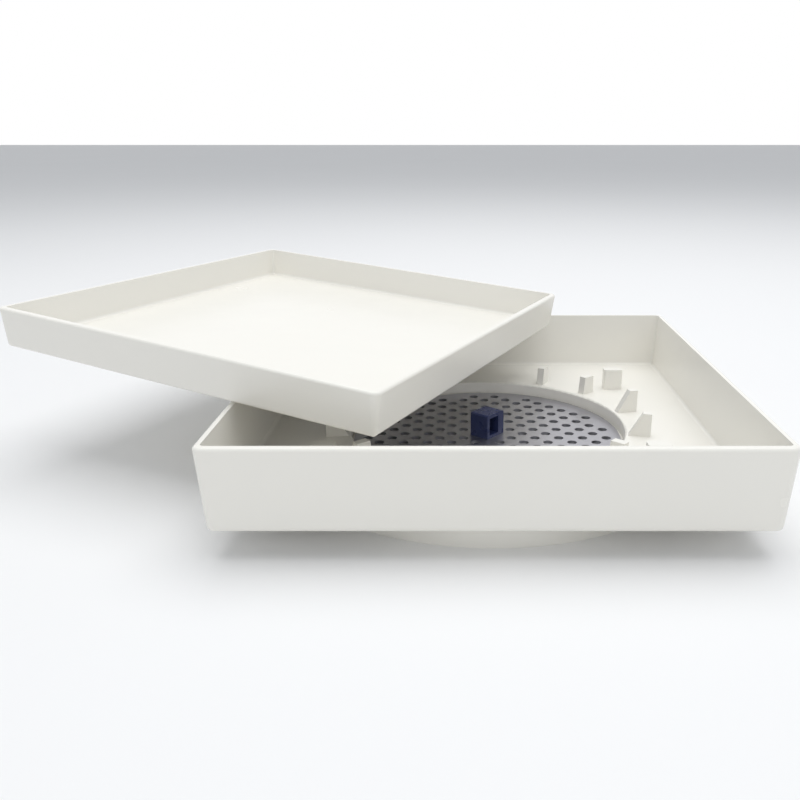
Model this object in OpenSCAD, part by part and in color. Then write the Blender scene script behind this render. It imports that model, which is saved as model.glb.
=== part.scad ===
// Tile-in floor drain: a square pan with a round strainer seat and an outlet collar,
// a loose tile tray lying across its rim, a perforated strainer and its pull handle.
// Units are millimetres. +Z is up, +X is to the right of the view, +Y is away from it.
// The origin is on the outlet axis, in the plane of the collar's lower edge.

/* [Pan] */
// Outside width of the square pan at its rim
pan_w = 150; // [135:1:200]
// Height of the pan from its underside to its rim
pan_h = 23.8; // [20:0.1:34]
// Thickness of the pan's side walls
pan_wall = 1.9; // [1.4:0.1:3]
// Thickness of the pan's floor
floor_t = 3; // [2:0.1:4.5]
// Draft of the pan's side walls in degrees
pan_draft = 3.1; // [1:0.1:5]
// Radius of the pan's four upright corners
corner_r = 2.5; // [1.5:0.1:5]
// Radius along the outside of the rim
rim_r = 1; // [0.4:0.1:1.4]
// Radius around the pan's underside
foot_r = 1.9; // [1:0.1:3]
// Radius between the pan's walls and its floor
cove_r = 1.2; // [0.6:0.1:2.5]

/* [Strainer seat] */
// Diameter of the round opening in the floor
seat_d = 92; // [80:0.5:100]
// Depth from the pan's floor to the top of the strainer
strainer_drop = 4; // [2.5:0.1:6]
// Thickness of the wall around the seat
seat_wall = 2.5; // [1.8:0.1:4]
// Width of the ledge that carries the strainer
ledge_w = 3.5; // [2:0.1:6]
// Thickness of that ledge
ledge_t = 2; // [1.2:0.1:3]
// Radius on the upper edge of the opening
seat_lip_r = 0.6; // [0.2:0.1:1.2]

/* [Outlet collar] */
// Outside diameter of the collar under the pan
collar_d = 133; // [118:0.5:135]
// Thickness of the collar's wall
collar_wall = 2.5; // [1.8:0.1:4]
// Height of the collar below the pan's underside
collar_h = 8.2; // [6.5:0.1:20]
// Radius on the inner lower edge of the collar
collar_edge_r = 0.8; // [0.3:0.1:1.4]

/* [Tray supports] */
// Height of the tall supports, which carry the tile tray when it is put in
support_h = 7.8; // [5:0.1:12]
// Height of the low ribs between them
low_rib_h = 6.4; // [3:0.1:10]
// Distance from the edge of the opening to the middle of each rib
rib_gap = 4.6; // [3.5:0.1:6]
// Thickness of each rib
rib_t = 2.6; // [1.6:0.1:4]
// Length of a tall rib at its foot
tall_rib_foot = 7.2; // [5:0.1:8]
// Length of a tall rib at its top
tall_rib_top = 2.8; // [1.5:0.1:4]
// Length of a low rib at its foot
low_rib_foot = 5.4; // [4:0.1:7]
// Length of a low rib at its top
low_rib_top = 4.6; // [2:0.1:5]
// Direction of the tall ribs from the sideways axis in degrees
tall_rib_angle = 13.4; // [8:0.1:18]
// Direction of the first low rib from the sideways axis in degrees
low_rib_angle = 41; // [38:0.1:45]
// Direction of the second low rib from the sideways axis in degrees
far_rib_angle = 63; // [58:0.1:72]
// Sideways place of the four corner blocks
block_x = 49; // [46:0.5:60]
// Fore-and-aft place of the four corner blocks
block_y = 38.5; // [36:0.5:55]
// Width of a corner block
block_w = 7; // [4:0.1:9]
// Depth of a corner block
block_d = 4.2; // [3:0.1:7]
// Radius of a corner block's upright edges
block_r = 0.8; // [0.3:0.1:1.4]

/* [Strainer] */
// Clearance all round between the strainer and its seat
strainer_clearance = 1; // [0.3:0.1:2]
// Thickness of the strainer's sheet
strainer_t = 1; // [0.6:0.1:1.6]
// Diameter of each round hole
hole_d = 3.2; // [2:0.1:4]
// Distance between holes along a row
hole_pitch = 8; // [6.5:0.1:12]
// Plain margin left around the edge
strainer_margin = 2.4; // [1.5:0.1:6]
// Radius of the plain middle under the handle
strainer_land_r = 6; // [5:0.1:12]

/* [Handle] */
// Length of the handle along its window side
handle_l = 8.8; // [7.5:0.1:14]
// Width of the handle across its end
handle_w = 7.2; // [5:0.1:9]
// Height of the handle above the strainer
handle_h = 8.2; // [6:0.1:14]
// Thickness of the post at the near end of the window
handle_near_post = 1.2; // [1:0.1:2]
// Thickness of the post at the far end of the window
handle_far_post = 2.9; // [1.5:0.1:3.5]
// Thickness of the bar over the window
handle_bar = 1.2; // [1:0.1:2]
// Thickness of the foot under the window
handle_foot = 1; // [0.8:0.1:2]
// Radius of the handle's upper corners
handle_r = 0.6; // [0.2:0.1:1]
// Turn of the handle in degrees
handle_turn = 50; // [0:1:90]
// Thickness of each snap leg
leg_t = 0.9; // [0.7:0.1:1.2]
// Width of each snap leg
leg_w = 4.6; // [3:0.1:4.8]
// Length of each snap leg below the sheet
leg_drop = 2.2; // [1.6:0.1:3]
// Reach of each snap leg's barb under the sheet
barb = 0.5; // [0.3:0.1:0.8]
// Clearance around each leg in its slot
leg_clearance = 0.1; // [0.05:0.05:0.2]

/* [Tile tray] */
// Outside width of the square tile tray at its rim
tray_w = 140; // [125:1:190]
// Height of the tile tray
tray_h = 13; // [9:0.1:20]
// Thickness of the tray's walls
tray_wall = 1.9; // [1.4:0.1:3]
// Thickness of the tray's floor
tray_floor_t = 2; // [1.4:0.1:3]
// Draft of the tray's walls in degrees
tray_draft = 5; // [1:0.1:7]
// Radius of the tray's four upright corners
tray_corner_r = 2.5; // [1.5:0.1:5]
// Radius along the outside of the tray's rim
tray_rim_r = 0.8; // [0.3:0.1:1.2]
// Radius around the tray's underside
tray_foot_r = 1.2; // [0.6:0.1:2.5]
// Radius between the tray's walls and its floor
tray_cove_r = 1.2; // [0.6:0.1:2.5]

/* [Tray lying on the pan] */
// Sideways place of the tray's middle
tray_x = -63.5; // [-75:0.5:-55]
// Fore-and-aft place of the tray's middle
tray_y = 28.5; // [15:0.5:40]
// Turn of the tray in plan in degrees
tray_turn = 65; // [50:1:80]
// Lean of the tray in degrees
tray_lean = 4; // [1:0.1:6]
// Plan direction of the line that the tray leans about in degrees
lean_line = 61; // [45:0.5:80]
// Clearance between the tray and the rim that it lies on
rest_clearance = 0.1; // [0.05:0.05:0.3]

/* [Hidden] */
$fn = 96;
HULL_FN = 32;
OVERCUT = 1;

BODY_COLOUR = "#f7f5ee";
STEEL_COLOUR = "#a9abb0";
HANDLE_COLOUR = "#2b3157";

SIDES = [-1, 1];
QUARTER_TURN = 90;

pan_base_z = collar_h;
rim_z = pan_base_z + pan_h;
floor_z = pan_base_z + floor_t;
strainer_top_z = floor_z - strainer_drop;
ledge_z = strainer_top_z - strainer_t;
seat_r = seat_d / 2;
strainer_r = seat_r - strainer_clearance;
ledge_r = seat_r - ledge_w;
rib_ring_r = seat_r + rib_gap;
hole_row = hole_pitch / 2;

// A rounded corner: a disc with a radius on its upper edge, for the corners of a rim.
module rim_corner(r, edge_r) {
    rotate_extrude($fn = HULL_FN) {
        square([r - edge_r, edge_r]);
        translate([r - edge_r, 0])
            intersection() {
                circle(edge_r);
                square(edge_r);
            }
    }
}

// A square block with drafted walls, a rounded rim and a rounded underside.
module drafted_block(w, h, draft, upright_r, edge_r, base_r) {
    top = w / 2 - upright_r;
    base = w / 2 - h * tan(draft) - base_r;
    hull() {
        for (x = SIDES, y = SIDES) {
            translate([x * top, y * top, h - edge_r])
                rim_corner(upright_r, edge_r);
            translate([x * base, y * base, base_r])
                sphere(base_r, $fn = HULL_FN);
        }
    }
}

// The space inside drafted walls, cut past the rim so that it opens it cleanly.
module drafted_space(w, depth, draft, cove) {
    top = w / 2 + OVERCUT * tan(draft) - cove;
    base = w / 2 - depth * tan(draft) - cove;
    hull() {
        for (x = SIDES, y = SIDES) {
            translate([x * top, y * top, depth])
                cylinder(r = cove, h = OVERCUT, $fn = HULL_FN);
            translate([x * base, y * base, cove])
                sphere(cove, $fn = HULL_FN);
        }
    }
}

module pan_shell() {
    difference() {
        translate([0, 0, pan_base_z])
            drafted_block(pan_w, pan_h, pan_draft, corner_r, rim_r, foot_r);
        translate([0, 0, floor_z])
            drafted_space(pan_w - 2 * pan_wall, pan_h - floor_t, pan_draft, cove_r);
    }
}

// The wall and ledge under the floor that hold the strainer.
module seat_ring() {
    translate([0, 0, ledge_z - ledge_t])
        cylinder(r = seat_r + seat_wall, h = floor_z - ledge_z + ledge_t - floor_t / 2);
}

module seat_cut() {
    translate([0, 0, ledge_z])
        cylinder(r = seat_r, h = floor_z - ledge_z + OVERCUT);
    translate([0, 0, ledge_z - ledge_t - OVERCUT])
        cylinder(r = ledge_r, h = ledge_t + 2 * OVERCUT);
    translate([0, 0, floor_z])
        rotate_extrude()
            translate([seat_r, 0])
                difference() {
                    translate([-OVERCUT, -seat_lip_r])
                        square([seat_lip_r + OVERCUT, seat_lip_r + OVERCUT]);
                    translate([seat_lip_r, -seat_lip_r])
                        circle(seat_lip_r);
                    translate([seat_lip_r, -seat_lip_r])
                        square([OVERCUT, seat_lip_r]);
                }
}

// The round skirt under the pan, with its inner lower edge rounded.
module collar() {
    outside = collar_d / 2;
    inside = outside - collar_wall;
    top = pan_base_z + floor_t / 2;
    rotate_extrude() {
        translate([inside + collar_edge_r, 0])
            square([collar_wall - collar_edge_r, top]);
        translate([inside, collar_edge_r])
            square([collar_wall, top - collar_edge_r]);
        translate([inside + collar_edge_r, collar_edge_r])
            circle(collar_edge_r);
    }
}

// A rib that slopes up and away from the opening.
module rib(angle, height, foot, top) {
    rotate([0, 0, angle])
        translate([rib_ring_r, rib_t / 2, floor_z])
            rotate([QUARTER_TURN, 0, 0])
                linear_extrude(rib_t)
                    polygon([
                        [-foot / 2, -floor_t / 2],
                        [foot / 2, -floor_t / 2],
                        [foot / 2, height],
                        [foot / 2 - top, height],
                        [-foot / 2, 0]
                    ]);
}

// The same rib in each quarter, mirrored left to right and front to back.
module ribs_in_quarters(angle, height, foot, top) {
    for (side = [0, 180], way = SIDES)
        rib(side + way * angle, height, foot, top);
}

module corner_block() {
    height = support_h + floor_t / 2;
    translate([0, 0, floor_z - floor_t / 2])
        linear_extrude(height) {
            square([block_w - 2 * block_r, block_d], center = true);
            square([block_w, block_d - 2 * block_r], center = true);
            for (x = SIDES, y = SIDES)
                translate([x * (block_w / 2 - block_r), y * (block_d / 2 - block_r)])
                    circle(block_r);
        }
}

module tray_supports() {
    ribs_in_quarters(tall_rib_angle, support_h, tall_rib_foot, tall_rib_top);
    for (angle = [low_rib_angle, far_rib_angle])
        ribs_in_quarters(angle, low_rib_h, low_rib_foot, low_rib_top);
    for (x = SIDES, y = SIDES)
        translate([x * block_x, y * block_y, 0])
            corner_block();
}

// One moulding: pan, supports, strainer seat and outlet collar.
module drain_body() {
    color(BODY_COLOUR)
        difference() {
            union() {
                pan_shell();
                seat_ring();
                collar();
                tray_supports();
            }
            seat_cut();
        }
}

// How the tray lies: turned in plan, then leaned about a level line.
module tray_attitude() {
    rotate([0, 0, lean_line])
        rotate([tray_lean, 0, 0])
            rotate([0, 0, tray_turn - lean_line])
                children();
}

function about_z(v, a) = [v.x * cos(a) - v.y * sin(a), v.x * sin(a) + v.y * cos(a), v.z];
function about_x(v, a) = [v.x, v.y * cos(a) - v.z * sin(a), v.y * sin(a) + v.z * cos(a)];
function in_attitude(v) = about_z(about_x(about_z(v, tray_turn - lean_line), tray_lean), lean_line);

// Corners of the tray's underside around the middle of that underside, once it leans.
tray_base_half = tray_w / 2 - tray_h * tan(tray_draft);
near_corner = in_attitude([-tray_base_half, -tray_base_half, 0]);
right_corner = in_attitude([tray_base_half, -tray_base_half, 0]);
far_corner = in_attitude([tray_base_half, tray_base_half, 0]);
left_corner = in_attitude([-tray_base_half, tray_base_half, 0]);
base_middle = [tray_x, tray_y, 0] - in_attitude([0, 0, tray_h]);

// Height of the underside where its edge from a to b passes over the level line
// at the given place along one axis (0 sideways, 1 fore and aft).
function edge_height(a, b, axis, place) =
    let (share = (place - base_middle[axis] - a[axis]) / (b[axis] - a[axis]))
        a.z + share * (b.z - a.z);

rim_inside = pan_w / 2 - pan_wall;
height_at_left_rim = edge_height(near_corner, left_corner, 0, -rim_inside);
height_at_back_rim = edge_height(right_corner, far_corner, 1, rim_inside);
tray_base_z = rim_z + rest_clearance - min(height_at_left_rim, height_at_back_rim);

// The loose tray that takes the floor tile, lying across the pan's rim.
module tile_tray() {
    color(BODY_COLOUR)
        translate([base_middle.x, base_middle.y, tray_base_z])
            tray_attitude()
                difference() {
                    drafted_block(tray_w, tray_h, tray_draft, tray_corner_r, tray_rim_r, tray_foot_r);
                    translate([0, 0, tray_floor_t])
                        drafted_space(tray_w - 2 * tray_wall, tray_h - tray_floor_t, tray_draft,
                                      tray_cove_r);
                }
}

// Holes in staggered rows: every other row is shifted by half the distance between holes.
module strainer_holes() {
    reach = strainer_r - strainer_margin - hole_d / 2;
    rows = floor(reach / hole_row);
    columns = ceil(reach / hole_pitch);
    for (j = [-rows : rows], i = [-columns : columns]) {
        x = i * hole_pitch + (j % 2 == 0 ? hole_row : 0);
        y = j * hole_row;
        if (norm([x, y]) <= reach && norm([x, y]) >= strainer_land_r)
            translate([x, y])
                circle(d = hole_d, $fn = 24);
    }
}

leg_slot_t = leg_t + 2 * leg_clearance;
leg_slot_w = leg_w + 2 * leg_clearance;
leg_x = handle_l / 2 - leg_t / 2 - barb / 2;

// The perforated sheet, with two slots for the handle's legs.
module strainer_plate() {
    color(STEEL_COLOUR)
        translate([0, 0, ledge_z])
            linear_extrude(strainer_t)
                difference() {
                    circle(strainer_r);
                    strainer_holes();
                    rotate(handle_turn)
                        for (side = SIDES)
                            translate([side * leg_x, 0])
                                square([leg_slot_t, leg_slot_w], center = true);
                }
}

// Side view of the handle: rounded at the top, with a window for a fingertip or hook.
module handle_outline() {
    difference() {
        translate([-handle_l / 2, 0]) {
            square([handle_l, handle_h - handle_r]);
            translate([handle_r, 0])
                square([handle_l - 2 * handle_r, handle_h]);
            for (x = [handle_r, handle_l - handle_r])
                translate([x, handle_h - handle_r])
                    circle(handle_r, $fn = 32);
        }
        translate([-handle_l / 2 + handle_near_post, handle_foot])
            square([handle_l - handle_near_post - handle_far_post,
                    handle_h - handle_foot - handle_bar]);
    }
}

// Side view of the right snap leg, from the handle's foot down through the sheet.
module leg_outline() {
    under = -strainer_t - leg_clearance;
    polygon([
        [-leg_t / 2, handle_foot / 2],
        [-leg_t / 2, -strainer_t - leg_drop],
        [leg_t / 2, -strainer_t - leg_drop],
        [leg_t / 2 + barb, under],
        [leg_t / 2, under],
        [leg_t / 2, handle_foot / 2]
    ]);
}

// The pull handle, snapped through the sheet by two barbed legs.
module pull_handle() {
    color(HANDLE_COLOUR)
        translate([0, 0, strainer_top_z])
            rotate([0, 0, handle_turn]) {
                translate([0, handle_w / 2, 0])
                    rotate([QUARTER_TURN, 0, 0])
                        linear_extrude(handle_w)
                            handle_outline();
                for (side = [0, 1])
                    mirror([side, 0, 0])
                        translate([leg_x, leg_w / 2, 0])
                            rotate([QUARTER_TURN, 0, 0])
                                linear_extrude(leg_w)
                                    leg_outline();
            }
}

drain_body();
tile_tray();
strainer_plate();
pull_handle();
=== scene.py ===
"""Looks of the floor drain: materials, light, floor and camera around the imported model."""

import math

import bpy
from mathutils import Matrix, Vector

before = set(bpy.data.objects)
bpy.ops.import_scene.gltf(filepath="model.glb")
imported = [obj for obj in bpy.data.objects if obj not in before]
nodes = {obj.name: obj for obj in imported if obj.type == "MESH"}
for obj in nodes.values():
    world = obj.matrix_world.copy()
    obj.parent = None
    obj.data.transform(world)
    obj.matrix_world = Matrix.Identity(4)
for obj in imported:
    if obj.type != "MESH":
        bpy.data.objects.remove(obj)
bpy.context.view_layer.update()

# Camera: fitted to the photograph, in metres and degrees.
CAMERA_PLACE = (-0.00852, -0.25659, 0.10546)
CAMERA_DOWN = 18.56
CAMERA_LENS = 36.19
SENSOR = 36.0
CAMERA_SHIFT_X = -0.0776

# The studio floor's side, in metres.
FLOOR_SIZE = 12.0
SMOOTH_ANGLE = math.radians(35)


def new_material(name):
    """A node material with its tree emptied down to a shader and an output."""
    material = bpy.data.materials.new(name)
    material.use_nodes = True
    tree = material.node_tree
    tree.nodes.clear()
    output = tree.nodes.new("ShaderNodeOutputMaterial")
    shader = tree.nodes.new("ShaderNodeBsdfPrincipled")
    tree.links.new(shader.outputs["BSDF"], output.inputs["Surface"])
    return material, tree, shader


def object_coords(tree):
    """The part's own coordinates, in metres, the same from every view."""
    return tree.nodes.new("ShaderNodeTexCoord").outputs["Object"]


def noise(tree, vector, scale, detail=2.0, rough=0.5):
    node = tree.nodes.new("ShaderNodeTexNoise")
    node.inputs["Scale"].default_value = scale
    node.inputs["Detail"].default_value = detail
    node.inputs["Roughness"].default_value = rough
    tree.links.new(vector, node.inputs["Vector"])
    return node.outputs["Fac"]


def mapped(tree, value, low, high):
    """A 0 to 1 value spread over low to high."""
    node = tree.nodes.new("ShaderNodeMapRange")
    node.inputs["To Min"].default_value = low
    node.inputs["To Max"].default_value = high
    tree.links.new(value, node.inputs["Value"])
    return node.outputs["Result"]


def mixed_colour(tree, value, first, second):
    node = tree.nodes.new("ShaderNodeMix")
    node.data_type = "RGBA"
    node.inputs["A"].default_value = (*first, 1)
    node.inputs["B"].default_value = (*second, 1)
    tree.links.new(value, node.inputs["Factor"])
    return node.outputs["Result"]


def bumped(tree, height, strength, distance):
    node = tree.nodes.new("ShaderNodeBump")
    node.inputs["Strength"].default_value = strength
    node.inputs["Distance"].default_value = distance
    tree.links.new(height, node.inputs["Height"])
    return node.outputs["Normal"]


def white_plastic():
    """Glossy off-white moulded plastic: a slow unevenness in tone and gloss."""
    material, tree, shader = new_material("white_plastic")
    place = object_coords(tree)
    tone = noise(tree, place, 18.0, 3.0)
    cloud = mapped(tree, tone, 0.0, 1.0)
    colour = mixed_colour(tree, cloud, (0.865, 0.845, 0.785), (0.885, 0.868, 0.812))
    gloss = mapped(tree, noise(tree, place, 60.0, 3.0), 0.20, 0.30)
    ripple = noise(tree, place, 45.0, 2.0)
    tree.links.new(colour, shader.inputs["Base Color"])
    tree.links.new(gloss, shader.inputs["Roughness"])
    tree.links.new(bumped(tree, ripple, 0.25, 0.0004), shader.inputs["Normal"])
    shader.inputs["IOR"].default_value = 1.5
    return material


def strainer_steel():
    """Satin sheet with a fine rolled grain along one direction."""
    material, tree, shader = new_material("strainer_steel")
    place = object_coords(tree)
    stretch = tree.nodes.new("ShaderNodeMapping")
    stretch.inputs["Scale"].default_value = (1.0, 14.0, 1.0)
    tree.links.new(place, stretch.inputs["Vector"])
    grain = noise(tree, stretch.outputs["Vector"], 220.0, 4.0, 0.6)
    colour = mixed_colour(tree, grain, (0.40, 0.40, 0.43), (0.50, 0.50, 0.54))
    tree.links.new(colour, shader.inputs["Base Color"])
    tree.links.new(mapped(tree, grain, 0.28, 0.42), shader.inputs["Roughness"])
    tree.links.new(bumped(tree, grain, 0.3, 0.00004), shader.inputs["Normal"])
    shader.inputs["Metallic"].default_value = 1.0
    return material


def handle_plastic():
    """Navy moulded plastic with a faint flow in its tone."""
    material, tree, shader = new_material("handle_plastic")
    place = object_coords(tree)
    flow = noise(tree, place, 260.0, 3.0)
    colour = mixed_colour(tree, flow, (0.020, 0.028, 0.085), (0.032, 0.042, 0.115))
    tree.links.new(colour, shader.inputs["Base Color"])
    tree.links.new(mapped(tree, flow, 0.22, 0.34), shader.inputs["Roughness"])
    tree.links.new(bumped(tree, flow, 0.25, 0.0001), shader.inputs["Normal"])
    shader.inputs["IOR"].default_value = 1.5
    return material


def smooth_by_angle(obj):
    """Smooth shading with the sharp edges kept sharp. The mesh's points stay as they are."""
    mesh = obj.data
    mesh.polygons.foreach_set("use_smooth", [True] * len(mesh.polygons))
    mesh.set_sharp_from_angle(angle=SMOOTH_ANGLE)


MATERIALS = {
    "drain_body": white_plastic(),
    "strainer_plate": strainer_steel(),
    "pull_handle": handle_plastic(),
}
MATERIALS["tile_tray"] = MATERIALS["drain_body"]

for name, material in MATERIALS.items():
    nodes[name].data.materials.clear()
    nodes[name].data.materials.append(material)
    smooth_by_angle(nodes[name])


def studio_floor():
    """A plain pale floor that takes the object's shadow."""
    half = FLOOR_SIZE / 2
    mesh = bpy.data.meshes.new("studio_floor")
    mesh.from_pydata(
        [(-half, -half, 0), (half, -half, 0), (half, half, 0), (-half, half, 0)],
        [],
        [(0, 1, 2, 3)],
    )
    obj = bpy.data.objects.new("studio_floor", mesh)
    bpy.context.scene.collection.objects.link(obj)
    material, tree, shader = new_material("floor_white")
    place = object_coords(tree)
    tone = mixed_colour(tree, noise(tree, place, 3.0), (0.88, 0.88, 0.88), (0.90, 0.90, 0.90))
    tree.links.new(tone, shader.inputs["Base Color"])
    shader.inputs["Roughness"].default_value = 0.8
    shader.inputs["Specular IOR Level"].default_value = 0.2
    mesh.materials.append(material)
    return obj


def white_world():
    """Pale light from all round, pure white where the camera, metal or gloss sees it."""
    world = bpy.data.worlds.new("studio")
    world.use_nodes = True
    bpy.context.scene.world = world
    tree = world.node_tree
    tree.nodes.clear()
    output = tree.nodes.new("ShaderNodeOutputWorld")
    light = tree.nodes.new("ShaderNodeBackground")
    seen = tree.nodes.new("ShaderNodeBackground")
    mix = tree.nodes.new("ShaderNodeMixShader")
    path = tree.nodes.new("ShaderNodeLightPath")
    light.inputs["Color"].default_value = (0.93, 0.96, 1.0, 1)
    light.inputs["Strength"].default_value = 0.55
    seen.inputs["Color"].default_value = (1, 1, 1, 1)
    seen.inputs["Strength"].default_value = 1.0
    seen_rays = path.outputs["Is Camera Ray"]
    for ray in ("Is Glossy Ray", "Is Transmission Ray"):
        either = tree.nodes.new("ShaderNodeMath")
        either.operation = "MAXIMUM"
        tree.links.new(seen_rays, either.inputs[0])
        tree.links.new(path.outputs[ray], either.inputs[1])
        seen_rays = either.outputs["Value"]
    tree.links.new(seen_rays, mix.inputs["Fac"])
    tree.links.new(light.outputs["Background"], mix.inputs[1])
    tree.links.new(seen.outputs["Background"], mix.inputs[2])
    tree.links.new(mix.outputs["Shader"], output.inputs["Surface"])


def area_lamp(name, place, target, size, power, colour=(1, 1, 1)):
    lamp = bpy.data.lights.new(name, "AREA")
    lamp.shape = "RECTANGLE"
    lamp.size, lamp.size_y = size
    lamp.energy = power
    lamp.color = colour
    obj = bpy.data.objects.new(name, lamp)
    bpy.context.scene.collection.objects.link(obj)
    obj.location = place
    obj.rotation_euler = (Vector(target) - Vector(place)).to_track_quat("-Z", "Y").to_euler()
    return obj


def photo_camera():
    data = bpy.data.cameras.new("photo_camera")
    data.sensor_fit = "HORIZONTAL"
    data.sensor_width = SENSOR
    data.lens = CAMERA_LENS
    data.shift_x = CAMERA_SHIFT_X
    data.clip_start = 0.01
    data.clip_end = 100
    obj = bpy.data.objects.new("photo_camera", data)
    bpy.context.scene.collection.objects.link(obj)
    obj.location = CAMERA_PLACE
    obj.rotation_euler = (math.radians(90 - CAMERA_DOWN), 0, 0)
    bpy.context.scene.camera = obj


studio_floor()
white_world()
area_lamp("overhead", (0.05, 0.10, 0.90), (0, 0, 0), (1.0, 1.0), 6.0)
area_lamp("front_fill", (0.10, -0.9, 0.45), (0, 0, 0.02), (0.8, 0.5), 0.8)
photo_camera()
bpy.context.scene.view_settings.view_transform = "Standard"

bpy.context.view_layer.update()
